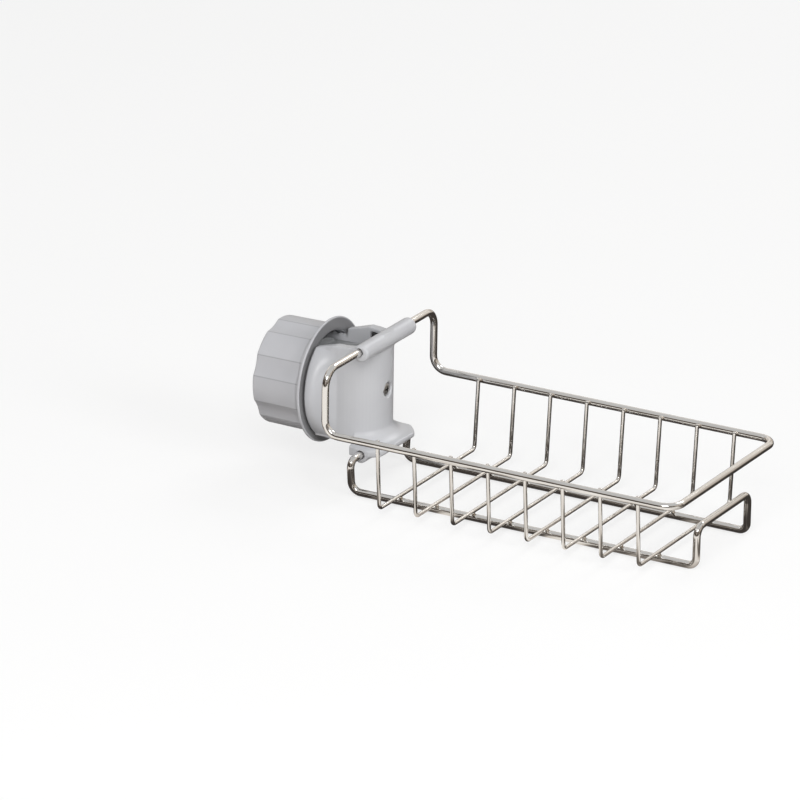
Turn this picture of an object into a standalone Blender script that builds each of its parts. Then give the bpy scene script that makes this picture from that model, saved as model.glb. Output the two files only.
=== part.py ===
# Sink organizer: a chromed wire basket that hangs on a round plastic clamp.
# Metres, +Z up. The origin is where the clamp's screw axis (along X) crosses the middle of its upright bore.
# The basket reaches out along +X, the clamp's knob points along -X.
import math

import bmesh
import bpy
import numpy as np
from mathutils import Matrix

# The upright bore that the clamp closes on, and the fits between pieces
gripped_radius = 0.0140
seat_fit = 0.00015
pad_fit = 0.0002
piece_gap = 0.0003
sliding_gap = 0.0004
weld_gap = 0.0003
wire_fit = 0.00035

# Wires
rail_wire_radius = 0.0020
rib_wire_radius = 0.00105

# Basket: its place from the clamp's origin, then its own sizes
basket_ahead = 0.0166
basket_aside = -0.0030
basket_drop = 0.0054
basket_length = 0.2066
rail_spacing = 0.1166
hook_bar_rise = 0.0348
rail_foot_bend = 0.0080
rail_end_bend = 0.0090
hook_bar_bend = 0.0095

# Ribs: eight U-shaped wires that stand inside the rails
rib_count = 8
first_rib_from_hook_bar = 0.02975
last_rib_from_frame_end = 0.02175
rib_top_over_rail = 0.0010
rib_floor_depth = 0.0382
rib_floor_half_width = 0.0517
rib_bend = 0.0030

# Lower frame: two runners under the ribs, bent up at both ends
runner_spacing = 0.0582
frame_length = 0.2055
far_arch_depth = 0.0202
far_arch_bend = 0.0055
far_foot_bend = 0.0044
clamp_arch_depth = 0.0241
clamp_arch_half_width = 0.0310
clamp_arch_bend = 0.0042
clamp_foot_bend = 0.0055

# Clamp body: a short drum behind, a half-round wall in front
drum_radius = 0.0308
drum_back = 0.0142
flare_start = 0.0110
flare_end = 0.0010
wall_radius = 0.0202
slot_half_width = 0.0150
wall_bottom = 0.0256
wall_top = 0.0340
top_at_drum_back = 0.0242
top_slope_share = 0.27
narrow_half_width = 0.0190

# Threaded prongs behind the drum, as the plain cylinder of the thread's outside
prong_radius = 0.0262
prong_back = 0.0320
prong_bore_radius = 0.0225
prong_bore_front = 0.0160

# Hook sleeve round the raised bar, and its mouth on the inner side
sleeve_radius = 0.0047
sleeve_half_length = 0.0267
sleeve_end_round = 0.0012
sleeve_ahead_of_bar = 0.0008
sleeve_below_bar = 0.0007
channel_radius = rail_wire_radius + wire_fit
channel_mouth_height = 0.0036
mouth_back = 0.0138
fillet_radius = 0.0075
fillet_thickness = 0.0050
fillet_setback = 0.0034
fillet_corner = 0.0014

# Lip under the front wall, and the lug round the lower frame's bar
lip_radius = 0.0318
lip_top = 0.0262
lip_bottom = 0.0308
lip_front = 0.0283
lip_back = 0.0095
lip_half_length = 0.0235
lip_edge_round = 0.0014
lip_chamfer = 0.0025
flare_radius = 0.0085
lug_radius = 0.0039
lug_below_bar = 0.0007
lug_half_length = lip_half_length + piece_gap

# Seat liner in the front of the slot, and the screw that holds it
liner_bore_radius = gripped_radius + seat_fit
liner_thickness = 0.00245
liner_pocket_radius = liner_bore_radius + liner_thickness + piece_gap
liner_half_height = 0.0250
liner_half_degrees = 85.0
screw_height = 0.0010
counterbore_radius = 0.0042
counterbore_floor = 0.0180
screw_shank_radius = 0.0014
screw_hole_radius = screw_shank_radius + sliding_gap
screw_head_radius = 0.0031
screw_head_height = 0.0012
screw_rim_share = 0.45
screw_dome_share = 0.62
screw_dome_height_share = 0.93
screw_bite = 0.0018
recess_width = 0.0009
recess_length = 0.0034
recess_depth = 0.0007

# Pressure pad that slides between the prongs
pad_half_width = slot_half_width - sliding_gap
pad_half_height = 0.0175
pad_liner_face_radius = gripped_radius + pad_fit
pad_liner_thickness = 0.0012
pad_face_radius = pad_liner_face_radius + pad_liner_thickness + piece_gap
pad_block_back = 0.0205
pad_disc_gap = 0.0007
pad_disc_radius = prong_bore_radius - pad_disc_gap
pad_disc_thickness = 0.0030
pad_disc_back = pad_block_back + pad_disc_thickness
pad_liner_half_width = 0.0105
pad_liner_half_height = 0.0160

# Knob: a cap with a flared rim, and seven shallow flutes between seven round pads
knob_front = 0.0154
knob_back = 0.0470
rim_radius = 0.0342
rim_thickness = 0.0014
rim_edge_round = 0.0004
grip_radius = 0.0296
grip_back_radius = 0.0293
grip_front = 0.0200
knob_back_round = 0.0010
knob_bore_radius = prong_radius + sliding_gap
knob_bottom_thickness = 0.0028
knob_boss_radius = 0.0070
flute_count = 7
flute_width_share = 0.44
flute_depth = 0.0013
flute_flare_share = 0.25
flute_edge_degrees = 12.0
first_flute_degrees = 4.4

# Facets
ring_steps = 64
wall_steps = 30
hull_levels = 24
seam_distance = 0.00001
weld_distance = 0.000001
wire_bend_steps = 6
rib_bend_steps = 4
steps_across_flute = 6
steps_across_pad = 5
steps_round_knob_back = 8


def clear_scene():
    for scene_object in list(bpy.data.objects):
        bpy.data.objects.remove(scene_object, do_unlink=True)


def make_collection(name):
    collection = bpy.data.collections.new(name)
    bpy.context.scene.collection.children.link(collection)
    return collection


def make_material(name, colour, roughness, metallic):
    material = bpy.data.materials.new(name)
    material.use_nodes = True
    shader = material.node_tree.nodes["Principled BSDF"]
    shader.inputs["Base Color"].default_value = (*colour, 1.0)
    shader.inputs["Roughness"].default_value = roughness
    shader.inputs["Metallic"].default_value = metallic
    return material


def place(scene_object, collection, material=None):
    for owner in list(scene_object.users_collection):
        owner.objects.unlink(scene_object)
    collection.objects.link(scene_object)
    if material is not None:
        scene_object.data.materials.clear()
        scene_object.data.materials.append(material)
    return scene_object


def shade_round(mesh, sharp_degrees=35.0):
    mesh.shade_smooth()
    mesh.set_sharp_from_angle(angle=math.radians(sharp_degrees))


# Outlines and paths

def arc(centre, radius, first_degrees, last_degrees, steps):
    turns = np.radians(np.linspace(first_degrees, last_degrees, steps + 1))
    return [(centre[0] + radius * math.cos(t), centre[1] + radius * math.sin(t)) for t in turns]


def rounded_loop(corners, bends, steps):
    """Points of a closed wire: straight between the corners, an arc of the given bend radius at each."""
    points = []
    count = len(corners)
    for i in range(count):
        corner = np.array(corners[i])
        before = np.array(corners[i - 1]) - corner
        after = np.array(corners[(i + 1) % count]) - corner
        points += bend_points(corner, before, after, bends[i], steps)
    return points


def bend_points(corner, before, after, bend, steps):
    """The arc that joins two straight runs, from their directions back from and on past the corner."""
    back = before / np.linalg.norm(before)
    onward = after / np.linalg.norm(after)
    half_angle = math.acos(float(np.clip(back @ onward, -1.0, 1.0))) / 2
    middle = (back + onward) / np.linalg.norm(back + onward)
    centre = corner + middle * bend / math.sin(half_angle)
    start = corner + back * bend / math.tan(half_angle) - centre
    end = corner + onward * bend / math.tan(half_angle) - centre
    sweep = math.pi - 2 * half_angle
    side = (end - start * math.cos(sweep)) / math.sin(sweep)
    turns = np.linspace(0.0, sweep, steps + 1)
    return [tuple(centre + start * math.cos(t) + side * math.sin(t)) for t in turns]


def rounded_run(corners, bend, steps):
    """Points of an open wire through the corners, with the same bend radius at each inner one."""
    points = [tuple(corners[0])]
    for i in range(1, len(corners) - 1):
        corner = np.array(corners[i])
        before = np.array(corners[i - 1]) - corner
        after = np.array(corners[i + 1]) - corner
        points += bend_points(corner, before, after, bend, steps)
    points.append(tuple(corners[-1]))
    return points


# Shapes

def wire(name, points, radius, collection, material, closed):
    curve = bpy.data.curves.new(name, "CURVE")
    curve.dimensions = "3D"
    curve.bevel_depth = radius
    curve.bevel_resolution = 3
    curve.use_fill_caps = True
    spline = curve.splines.new("POLY")
    spline.points.add(len(points) - 1)
    for point, place_in_space in zip(spline.points, points):
        point.co = (*place_in_space, 1.0)
    spline.use_cyclic_u = closed
    spline.use_smooth = True
    curve.materials.append(material)
    scene_object = bpy.data.objects.new(name, curve)
    collection.objects.link(scene_object)
    return scene_object


def turned(name, profile, axis, collection, material=None, steps=ring_steps):
    """A turned solid. The profile is (radius, height) from the top down the outer side; axis is X, Y or Z."""
    mesh = bpy.data.meshes.new(name)
    points = [(radius, 0.0, height) for radius, height in profile]
    mesh.from_pydata(points, [(i, i + 1) for i in range(len(points) - 1)], [])
    scene_object = bpy.data.objects.new(name, mesh)
    collection.objects.link(scene_object)
    screw = scene_object.modifiers.new("Turn", "SCREW")
    screw.axis = "Z"
    screw.steps = steps
    screw.render_steps = steps
    screw.use_merge_vertices = True
    screw.merge_threshold = seam_distance
    if axis == "X":
        scene_object.rotation_euler = (0.0, math.radians(90.0), 0.0)
    if axis == "Y":
        scene_object.rotation_euler = (math.radians(-90.0), 0.0, 0.0)
    if material is not None:
        mesh.materials.append(material)
    return scene_object


def plate(name, outline, thickness, collection, material=None):
    """A flat outline in its own XY plane, thickened evenly to both sides."""
    curve = bpy.data.curves.new(name, "CURVE")
    curve.dimensions = "2D"
    curve.fill_mode = "BOTH"
    curve.extrude = thickness / 2
    spline = curve.splines.new("POLY")
    spline.points.add(len(outline) - 1)
    for point, (x, y) in zip(spline.points, outline):
        point.co = (x, y, 0.0, 1.0)
    spline.use_cyclic_u = True
    flat = bpy.data.objects.new(name, curve)
    collection.objects.link(flat)
    return meshed(flat, collection, material)


def meshed(curve_object, collection, material=None):
    """The same shape as a closed mesh, so that it can be cut or can cut."""
    bpy.context.view_layer.update()
    name = curve_object.name
    matrix = curve_object.matrix_world.copy()
    evaluated = curve_object.evaluated_get(bpy.context.evaluated_depsgraph_get())
    mesh = bpy.data.meshes.new_from_object(evaluated)
    bpy.data.objects.remove(curve_object, do_unlink=True)
    weld = bmesh.new()
    weld.from_mesh(mesh)
    bmesh.ops.remove_doubles(weld, verts=weld.verts, dist=weld_distance)
    bmesh.ops.recalc_face_normals(weld, faces=weld.faces)
    weld.to_mesh(mesh)
    weld.free()
    mesh.materials.clear()
    mesh.name = name
    solid = bpy.data.objects.new(name, mesh)
    solid.matrix_world = matrix
    collection.objects.link(solid)
    if material is not None:
        mesh.materials.append(material)
    return solid


def box(name, low, high, collection, material=None):
    """A box between two corners, with its sizes in the mesh and not in the scale."""
    bpy.ops.mesh.primitive_cube_add(size=1.0)
    scene_object = bpy.context.object
    scene_object.name = name
    size = np.array(high) - np.array(low)
    middle = (np.array(high) + np.array(low)) / 2
    scene_object.data.transform(Matrix.Diagonal((*size, 1.0)))
    scene_object.location = middle
    return place(scene_object, collection, material)


def rod(name, radius, length, axis, middle, collection, material=None, steps=32):
    bpy.ops.mesh.primitive_cylinder_add(vertices=steps, radius=radius, depth=length)
    scene_object = bpy.context.object
    scene_object.name = name
    if axis == "X":
        scene_object.rotation_euler = (0.0, math.radians(90.0), 0.0)
    if axis == "Y":
        scene_object.rotation_euler = (math.radians(90.0), 0.0, 0.0)
    scene_object.location = middle
    return place(scene_object, collection, material)


def loft(name, rings, collection, material=None):
    """A closed solid through rings of equally many points, with a flat face on the first and the last."""
    count = len(rings[0])
    points = [tuple(p) for ring in rings for p in ring]
    faces = [list(reversed(range(count)))]
    for level in range(len(rings) - 1):
        base = level * count
        for i in range(count):
            j = (i + 1) % count
            faces.append([base + i, base + j, base + count + j, base + count + i])
    faces.append([(len(rings) - 1) * count + i for i in range(count)])
    mesh = bpy.data.meshes.new(name)
    mesh.from_pydata(points, [], faces)
    tidy = bmesh.new()
    tidy.from_mesh(mesh)
    bmesh.ops.recalc_face_normals(tidy, faces=tidy.faces)
    tidy.to_mesh(mesh)
    tidy.free()
    scene_object = bpy.data.objects.new(name, mesh)
    collection.objects.link(scene_object)
    if material is not None:
        mesh.materials.append(material)
    return scene_object


def combine(target, tool, operation):
    modifier = target.modifiers.new(tool.name, "BOOLEAN")
    modifier.operation = operation
    modifier.object = tool
    modifier.solver = "EXACT"
    tool.hide_render = True
    tool.display_type = "WIRE"


# Basket

def basket_point(ahead, aside, up):
    return (basket_ahead + ahead, basket_aside + aside, up - basket_drop)


def build_top_rail(collection, material):
    half = rail_spacing / 2
    corners = [
        basket_point(0.0, -half, 0.0),
        basket_point(basket_length, -half, 0.0),
        basket_point(basket_length, half, 0.0),
        basket_point(0.0, half, 0.0),
        basket_point(0.0, half, hook_bar_rise),
        basket_point(0.0, -half, hook_bar_rise),
    ]
    bends = [rail_foot_bend, rail_end_bend, rail_end_bend, rail_foot_bend, hook_bar_bend, hook_bar_bend]
    points = rounded_loop(corners, bends, wire_bend_steps)
    return wire("top_rail", points, rail_wire_radius, collection, material, closed=True)


def build_ribs(collection, material):
    top_half = rail_spacing / 2 - rail_wire_radius - rib_wire_radius - weld_gap
    pitch = (frame_length - first_rib_from_hook_bar - last_rib_from_frame_end) / (rib_count - 1)
    ribs = []
    for number in range(rib_count):
        ahead = first_rib_from_hook_bar + number * pitch
        corners = [
            basket_point(ahead, -top_half, rib_top_over_rail),
            basket_point(ahead, -rib_floor_half_width, -rib_floor_depth),
            basket_point(ahead, rib_floor_half_width, -rib_floor_depth),
            basket_point(ahead, top_half, rib_top_over_rail),
        ]
        points = rounded_run(corners, rib_bend, rib_bend_steps)
        name = f"rib_{number + 1}"
        ribs.append(wire(name, points, rib_wire_radius, collection, material, closed=False))
    return ribs


def build_lower_frame(collection, material):
    half = runner_spacing / 2
    runner_depth = rib_floor_depth + rib_wire_radius + rail_wire_radius + weld_gap
    corners = [
        basket_point(0.0, -half, -runner_depth),
        basket_point(frame_length, -half, -runner_depth),
        basket_point(frame_length, -half, -far_arch_depth),
        basket_point(frame_length, half, -far_arch_depth),
        basket_point(frame_length, half, -runner_depth),
        basket_point(0.0, half, -runner_depth),
        basket_point(0.0, clamp_arch_half_width, -clamp_arch_depth),
        basket_point(0.0, -clamp_arch_half_width, -clamp_arch_depth),
    ]
    bends = [
        clamp_foot_bend, far_foot_bend, far_arch_bend, far_arch_bend,
        far_foot_bend, clamp_foot_bend, clamp_arch_bend, clamp_arch_bend,
    ]
    points = rounded_loop(corners, bends, wire_bend_steps)
    return wire("lower_frame", points, rail_wire_radius, collection, material, closed=True)


# Clamp body

def body_half_width(x, z):
    """Half the body's width: the drum's circle behind, easing to the front wall's radius."""
    drum = math.sqrt(max(drum_radius ** 2 - z ** 2, narrow_half_width ** 2))
    ease = min(max((x + flare_start) / (flare_start + flare_end), 0.0), 1.0)
    ease = ease * ease * (3 - 2 * ease)
    return drum + (wall_radius - drum) * ease


def body_ring(z):
    """One level of the body, seen from above: near side, half-round front, far side, flat back."""
    stations = np.linspace(-flare_start, 0.0, 8)
    near = [(-drum_back, -body_half_width(-drum_back, z))]
    near += [(x, -body_half_width(x, z)) for x in stations[:-1]]
    front = arc((0.0, 0.0), wall_radius, -90.0, 90.0, wall_steps)
    far = [(x, -y) for x, y in reversed(near)]
    return [(x, y, z) for x, y in near + front + far]


def build_body_hull(collection):
    shoulder_turn = math.acos(narrow_half_width / drum_radius)
    round_levels = drum_radius * np.sin(np.linspace(-shoulder_turn, shoulder_turn, hull_levels))
    levels = [-wall_bottom, *round_levels, wall_top]
    return loft("clamp_body", [body_ring(z) for z in levels], collection)


def build_lip(cutters):
    """The round lip with a concave flare up to the front wall, kept only in front of lip_back."""
    flare_inner = wall_radius - piece_gap
    flare_centre = (flare_inner + flare_radius, -lip_top + flare_radius)
    profile = [(0.0, flare_centre[1]), (flare_inner, flare_centre[1])]
    profile += arc(flare_centre, flare_radius, 180.0, 270.0, 6)[1:]
    profile += arc((lip_radius - lip_edge_round, -lip_top - lip_edge_round), lip_edge_round, 90.0, 0.0, 3)
    profile += arc((lip_radius - lip_edge_round, -lip_bottom + lip_edge_round), lip_edge_round, 0.0, -90.0, 3)
    profile += [(0.0, -lip_bottom)]
    lip = turned("lip", profile, "Z", cutters)
    keep_outline = [
        (lip_back, -lip_bottom - lip_edge_round),
        (lip_front - lip_chamfer, -lip_bottom - lip_edge_round),
        (lip_front - lip_chamfer, -lip_bottom),
        (lip_front, -lip_bottom + lip_chamfer),
        (lip_front, 0.0),
        (lip_back, 0.0),
    ]
    keep = plate("lip_keep", keep_outline, 2 * lip_half_length, cutters)
    keep.rotation_euler = (math.radians(90.0), 0.0, 0.0)
    combine(lip, keep, "INTERSECT")
    return lip


def build_sleeve(cutters):
    """The round bar of plastic that the raised wire runs through, with softly rounded ends."""
    end = sleeve_end_round
    half = sleeve_half_length
    profile = [(0.0, half)]
    profile += arc((sleeve_radius - end, half - end), end, 90.0, 0.0, 3)
    profile += arc((sleeve_radius - end, -half + end), end, 0.0, -90.0, 3)
    profile += [(0.0, -half)]
    sleeve = turned("sleeve", profile, "Y", cutters, steps=28)
    sleeve.location = (basket_ahead + sleeve_ahead_of_bar, 0.0, sleeve_height())
    return sleeve


def hook_bar_height():
    return hook_bar_rise - basket_drop


def sleeve_height():
    return hook_bar_height() - sleeve_below_bar


def frame_bar_height():
    return -clamp_arch_depth - basket_drop


def build_fillet(cutters):
    """The web that carries the sleeve's arms: it widens and comes forward from the wall up to the sleeve."""
    base = sleeve_height()
    web_front = basket_ahead + sleeve_ahead_of_bar
    inner = math.sqrt(wall_radius ** 2 - web_front ** 2) - piece_gap
    under_sleeve = math.sqrt(sleeve_radius ** 2 - (fillet_thickness / 2) ** 2) - piece_gap
    foot = base - under_sleeve - fillet_radius
    rings = []
    for turn in np.radians(np.linspace(0.0, 90.0, 8)):
        half_width = inner + fillet_radius * (1 - math.cos(turn))
        front = web_front - fillet_setback * (1 - math.sin(turn))
        rings.append(web_ring(front, half_width, foot + fillet_radius * math.sin(turn)))
    rings.append(web_ring(web_front, inner + fillet_radius, base))
    return loft("fillet", rings, cutters)


def web_ring(front, half_width, z):
    """One level of the web from above: a flat back, straight sides, and cut-off front corners."""
    back = basket_ahead + sleeve_ahead_of_bar - fillet_thickness
    side = [(back, half_width), (front - fillet_corner, half_width), (front, half_width - fillet_corner)]
    near = [(x, -y, z) for x, y in side]
    far = [(x, y, z) for x, y in reversed(side)]
    return near + far


def build_clamp_body(collection, cutters, material):
    body = build_body_hull(collection)
    body.data.materials.append(material)
    far = 4 * drum_radius
    slope_outline = [
        (-far, top_at_drum_back + (-far + drum_back) * top_slope_share),
        (far, top_at_drum_back + (far + drum_back) * top_slope_share),
        (far, far),
        (-far, far),
    ]
    slope = plate("top_slope", slope_outline, far, cutters)
    slope.rotation_euler = (math.radians(90.0), 0.0, 0.0)
    combine(body, slope, "DIFFERENCE")
    combine(body, build_lip(cutters), "UNION")
    lug_middle = (basket_ahead, 0.0, frame_bar_height() - lug_below_bar)
    lug = rod("lug", lug_radius, 2 * lug_half_length, "Y", lug_middle, cutters)
    combine(body, lug, "UNION")
    combine(body, build_sleeve(cutters), "UNION")
    combine(body, build_fillet(cutters), "UNION")
    prong_length = prong_back - drum_back + piece_gap
    prong_middle = (-prong_back + prong_length / 2, 0.0, 0.0)
    prongs = rod("prongs", prong_radius, prong_length, "X", prong_middle, cutters, steps=ring_steps)
    combine(body, prongs, "UNION")
    bore_length = far
    bore_middle = (-prong_bore_front - bore_length / 2, 0.0, 0.0)
    bore = rod("bore", prong_bore_radius, bore_length, "X", bore_middle, cutters, steps=ring_steps)
    combine(body, bore, "DIFFERENCE")
    slot_outline = [(-far, -slot_half_width)]
    slot_outline += arc((0.0, 0.0), slot_half_width, -90.0, 90.0, 24)
    slot_outline += [(-far, slot_half_width)]
    combine(body, plate("slot", slot_outline, far, cutters), "DIFFERENCE")
    pocket_outline = arc((0.0, 0.0), liner_pocket_radius, -90.0, 90.0, 24)
    pocket_height = 2 * (liner_half_height + piece_gap)
    combine(body, plate("liner_pocket", pocket_outline, pocket_height, cutters), "DIFFERENCE")
    bar_heights = {"hook_channel": hook_bar_height(), "lug_channel": frame_bar_height()}
    for name, height in bar_heights.items():
        channel = rod(name, channel_radius, far, "Y", (basket_ahead, 0.0, height), cutters, steps=20)
        combine(body, channel, "DIFFERENCE")
    mouth_floor = hook_bar_height() - channel_mouth_height / 2
    mouth_low = (0.0, -far / 2, mouth_floor)
    mouth_high = (basket_ahead, far / 2, mouth_floor + channel_mouth_height)
    combine(body, box("hook_mouth", mouth_low, mouth_high, cutters), "DIFFERENCE")
    level_low = (-drum_back, -far / 2, mouth_floor)
    combine(body, box("level_top", level_low, (mouth_back, far / 2, far), cutters), "DIFFERENCE")
    counterbore_middle = (counterbore_floor + wall_radius / 2, 0.0, screw_height)
    counterbore = rod("counterbore", counterbore_radius, wall_radius, "X", counterbore_middle, cutters)
    combine(body, counterbore, "DIFFERENCE")
    hole_middle = (counterbore_floor, 0.0, screw_height)
    hole = rod("screw_hole", screw_hole_radius, wall_radius / 2, "X", hole_middle, cutters, steps=16)
    combine(body, hole, "DIFFERENCE")
    return body


# Seat liner, its screw, and the pad

def half_round_strip(name, outer, inner, half_height, half_degrees, collection, material, towards):
    """A strip bent to an arc about the bore, towards +X or -X, of even thickness."""
    middle = 0.0 if towards > 0 else 180.0
    outline = arc((0.0, 0.0), outer, middle - half_degrees, middle + half_degrees, 24)
    outline += arc((0.0, 0.0), inner, middle + half_degrees, middle - half_degrees, 24)
    return plate(name, outline, 2 * half_height, collection, material)


def build_seat_liner(collection, cutters, material):
    outer = liner_pocket_radius - piece_gap
    liner = half_round_strip("seat_liner", outer, liner_bore_radius, liner_half_height, liner_half_degrees,
                             collection, material, towards=1)
    bite_middle = (outer, 0.0, screw_height)
    bite_radius = screw_shank_radius + piece_gap
    bite_length = 2 * (screw_bite + piece_gap)
    bite = rod("bite_hole", bite_radius, bite_length, "X", bite_middle, cutters, steps=16)
    combine(liner, bite, "DIFFERENCE")
    return liner


def build_screw(collection, cutters, material):
    """A round-headed screw along X: the head stands in the counterbore, the shank ends in the liner."""
    head_top = screw_head_height
    dome_edge = (screw_head_radius * screw_dome_share, head_top * screw_dome_height_share)
    liner_back = liner_pocket_radius - piece_gap
    tip = liner_back - screw_bite - counterbore_floor - piece_gap
    profile = [(0.0, head_top), dome_edge, (screw_head_radius, head_top * screw_rim_share)]
    profile += [(screw_head_radius, 0.0), (screw_shank_radius, 0.0)]
    profile += [(screw_shank_radius, tip + screw_shank_radius / 2), (0.0, tip)]
    screw = turned("front_screw", profile, "X", collection, material, steps=24)
    screw.location = (counterbore_floor + piece_gap, 0.0, screw_height)
    outer = counterbore_floor + piece_gap + screw_head_height
    half_width = recess_width / 2
    half_length = recess_length / 2
    arms = (("slot_level", half_length, half_width), ("slot_upright", half_width, half_length))
    for name, wide, tall in arms:
        low = (outer - recess_depth, -wide, screw_height - tall)
        high = (outer + recess_depth, wide, screw_height + tall)
        combine(screw, box(name, low, high, cutters), "DIFFERENCE")


def build_pad(collection, cutters, material):
    """The pad's block fits between the prongs; the disc behind it takes the knob's push."""
    block_low = (-pad_block_back, -pad_half_width, -pad_half_height)
    block_high = (0.0, pad_half_width, pad_half_height)
    pad = box("pressure_pad", block_low, block_high, collection, material)
    disc_overlap = piece_gap
    disc_length = pad_disc_back - pad_block_back + disc_overlap
    disc_middle = (-pad_disc_back + disc_length / 2, 0.0, 0.0)
    disc = rod("pad_disc", pad_disc_radius, disc_length, "X", disc_middle, cutters, steps=48)
    combine(pad, disc, "UNION")
    face = rod("pad_face", pad_face_radius, 4 * pad_half_height, "Z", (0.0, 0.0, 0.0), cutters, steps=64)
    combine(pad, face, "DIFFERENCE")
    return pad


def build_pad_liner(collection, material):
    outer = pad_face_radius - piece_gap
    half_degrees = math.degrees(math.asin(pad_liner_half_width / outer))
    return half_round_strip("pad_liner", outer, pad_liner_face_radius, pad_liner_half_height, half_degrees,
                            collection, material, towards=-1)


# Knob

def knob_ring(x, base, share):
    """One ring of the grip: a round hollow of the flute's depth at each flute, the base radius between."""
    half_flute = flute_width_share / 2
    across_flute = np.linspace(-half_flute, half_flute, steps_across_flute + 1)
    across_pad = np.linspace(half_flute, 1 - half_flute, steps_across_pad + 1)[1:-1]
    ring = []
    for flute in range(flute_count):
        for offset in (*across_flute, *across_pad):
            hollow = max(0.0, 1 - (offset / half_flute) ** 2)
            radius = base - share * flute_depth * hollow
            turn = math.radians(first_flute_degrees) + (flute + offset) / flute_count * 2 * math.pi
            ring.append((x, radius * math.cos(turn), radius * math.sin(turn)))
    return ring


def build_knob(collection, cutters, material):
    """A cap with a rim, a flare and a fluted grip, a straight bore, and a boss that meets the pad."""
    flare_middle = -(knob_front + rim_thickness + grip_front) / 2
    rings = [
        knob_ring(-knob_front, rim_radius - rim_edge_round, 0.0),
        knob_ring(-knob_front - rim_edge_round, rim_radius, 0.0),
        knob_ring(-knob_front - rim_thickness, rim_radius, 0.0),
        knob_ring(flare_middle, (rim_radius + grip_radius) / 2, flute_flare_share),
        knob_ring(-grip_front, grip_radius, 1.0),
    ]
    for turn in np.radians(np.linspace(0.0, 90.0, steps_round_knob_back + 1)):
        inward = knob_back_round * (1 - math.sin(turn))
        outward = knob_back_round * (1 - math.cos(turn))
        rings.append(knob_ring(-knob_back + inward, grip_back_radius - outward, 1.0))
    knob = loft("knob", rings, collection, material)
    far = 2 * knob_back
    bore_end = -knob_back + knob_bottom_thickness
    bore_middle = (bore_end + far / 2, 0.0, 0.0)
    bore = rod("knob_bore", knob_bore_radius, far, "X", bore_middle, cutters, steps=ring_steps)
    combine(knob, bore, "DIFFERENCE")
    boss_front = -pad_disc_back - piece_gap
    boss_length = boss_front - bore_end + piece_gap
    boss_middle = (bore_end - piece_gap + boss_length / 2, 0.0, 0.0)
    boss = rod("knob_boss", knob_boss_radius, boss_length, "X", boss_middle, cutters, steps=32)
    combine(knob, boss, "UNION")
    return knob


def set_origin(scene_object, origin):
    """Moves an object's origin to a point and leaves its shape where it is."""
    bpy.context.view_layer.update()
    shift = Matrix.Translation(origin)
    scene_object.data.transform(shift.inverted() @ scene_object.matrix_world)
    scene_object.matrix_world = shift


def build():
    clear_scene()
    part = make_collection("sink_organizer")
    cutters = make_collection("cutters")
    chrome = make_material("chromed_wire", (0.78, 0.76, 0.73), 0.12, 1.0)
    plastic = make_material("grey_plastic", (0.49, 0.50, 0.52), 0.38, 0.0)
    knob_plastic = make_material("knob_plastic", (0.47, 0.48, 0.50), 0.42, 0.0)
    pad_plastic = make_material("pad_plastic", (0.30, 0.31, 0.32), 0.50, 0.0)
    rubber = make_material("black_rubber", (0.03, 0.03, 0.03), 0.80, 0.0)
    steel = make_material("screw_steel", (0.60, 0.60, 0.60), 0.30, 1.0)
    build_top_rail(part, chrome)
    build_ribs(part, chrome)
    build_lower_frame(part, chrome)
    body = build_clamp_body(part, cutters, plastic)
    liner = build_seat_liner(part, cutters, rubber)
    build_screw(part, cutters, steel)
    pad = build_pad(part, cutters, pad_plastic)
    pad_liner = build_pad_liner(part, rubber)
    knob = build_knob(part, cutters, knob_plastic)
    set_origin(pad, (-pad_block_back, 0.0, 0.0))
    set_origin(knob, (-knob_back, 0.0, 0.0))
    for scene_object in (body, liner, pad, pad_liner):
        shade_round(scene_object.data)
    shade_round(knob.data, flute_edge_degrees)


build()
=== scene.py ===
# Looks for the organizer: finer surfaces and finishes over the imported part. Metres, +Z up.
import math

import bmesh
import bpy
import numpy as np
from mathutils import Matrix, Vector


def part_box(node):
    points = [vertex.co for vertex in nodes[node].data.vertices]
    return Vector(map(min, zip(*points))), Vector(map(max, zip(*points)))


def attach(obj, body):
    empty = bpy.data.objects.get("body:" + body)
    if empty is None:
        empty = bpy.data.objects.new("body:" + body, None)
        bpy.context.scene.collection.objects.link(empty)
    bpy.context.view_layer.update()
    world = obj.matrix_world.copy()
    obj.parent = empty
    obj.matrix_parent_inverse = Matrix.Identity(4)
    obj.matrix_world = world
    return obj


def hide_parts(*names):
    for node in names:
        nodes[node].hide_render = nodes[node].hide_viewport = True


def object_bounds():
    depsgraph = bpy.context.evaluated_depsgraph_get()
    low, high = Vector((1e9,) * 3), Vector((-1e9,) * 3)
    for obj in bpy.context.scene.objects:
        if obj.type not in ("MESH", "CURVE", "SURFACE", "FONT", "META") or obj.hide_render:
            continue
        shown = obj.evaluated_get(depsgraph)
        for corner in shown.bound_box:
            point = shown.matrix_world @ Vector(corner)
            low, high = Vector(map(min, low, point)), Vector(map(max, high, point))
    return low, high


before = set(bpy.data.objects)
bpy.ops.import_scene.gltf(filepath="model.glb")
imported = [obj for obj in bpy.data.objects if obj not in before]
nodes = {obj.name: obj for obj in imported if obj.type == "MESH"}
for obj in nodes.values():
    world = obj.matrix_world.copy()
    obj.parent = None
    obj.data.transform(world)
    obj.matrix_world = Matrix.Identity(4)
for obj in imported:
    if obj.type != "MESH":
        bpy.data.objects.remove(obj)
cadLow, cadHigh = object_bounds()
print("frame loaded:", len(nodes), "nodes")


# Shader graphs

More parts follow.
